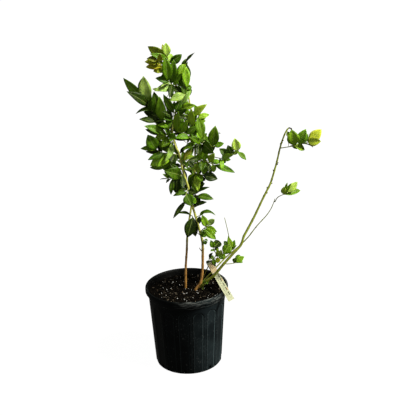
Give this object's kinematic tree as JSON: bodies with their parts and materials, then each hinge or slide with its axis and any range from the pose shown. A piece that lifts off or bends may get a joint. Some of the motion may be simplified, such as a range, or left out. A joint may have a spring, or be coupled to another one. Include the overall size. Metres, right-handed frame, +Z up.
{
  "type": "potted blueberry bush",
  "caption": "Young highbush blueberry with several leafy canes and one long leaning cane, in a round fluted black nursery pot filled with bark mix.",
  "frame": {"origin": "middle of the underside of the pot", "axes": "+Z up along the pot's axis; +X to the viewer's right as pictured, towards the leaning cane; -Y towards the viewer"},
  "size_m": [0.4665, 0.216, 0.8277],
  "materials": {
    "brown_bark": "smooth young bark",
    "green_bark": "smooth green bark",
    "label_plastic": "thin printed strip, left bare",
    "pot_plastic": "satin black, moulded",
    "green_leaf": "waxy leaf",
    "lime_leaf": "waxy leaf",
    "red_leaf": "waxy leaf",
    "bark_mix": "rough shredded bark"
  },
  "bodies": {
    "root": {"cane_basal": "green_bark", "cane_centre": "brown_bark", "cane_leaning": "green_bark", "cane_left": "brown_bark", "cane_slim": "green_bark", "cane_sprout": "green_bark", "label": "label_plastic", "pot": "pot_plastic", "shoot_arched": "green_leaf", "shoot_basal_foot": "green_leaf", "shoot_basal_pair": "green_leaf", "shoot_basal_tuft": "green_leaf", "shoot_curl": "green_leaf", "shoot_dark_low": "green_leaf", "shoot_far_high": "green_leaf", "shoot_far_left": "green_leaf", "shoot_far_low": "green_leaf", "shoot_far_mid": "green_leaf", "shoot_far_right": "green_leaf", "shoot_far_top": "green_leaf", "shoot_front_pair": "green_leaf", "shoot_gap": "green_leaf", "shoot_green_low": "green_leaf", "shoot_inner": "green_leaf", "shoot_leaning_low": "green_leaf", "shoot_leaning_top": "green_leaf", "shoot_left_cane_low": "green_leaf", "shoot_left_foot": "green_leaf", "shoot_left_high": "green_leaf", "shoot_left_low": "green_leaf", "shoot_left_mid": "green_leaf", "shoot_low_hanging": "green_leaf", "shoot_mid_left": "green_leaf", "shoot_mid_right": "green_leaf", "shoot_pale": "lime_leaf", "shoot_red_tips": "red_leaf", "shoot_right_branch": "green_leaf", "shoot_right_bright": "lime_leaf", "shoot_right_dark": "green_leaf", "shoot_right_lime": "lime_leaf", "shoot_right_low": "green_leaf", "shoot_right_mid": "green_leaf", "shoot_slim_pair": "green_leaf", "shoot_slim_tip": "green_leaf", "shoot_sprout": "green_leaf", "shoot_top": "green_leaf", "shoot_upper_right": "green_leaf", "soil": "bark_mix"}
  },
  "joints": []
}
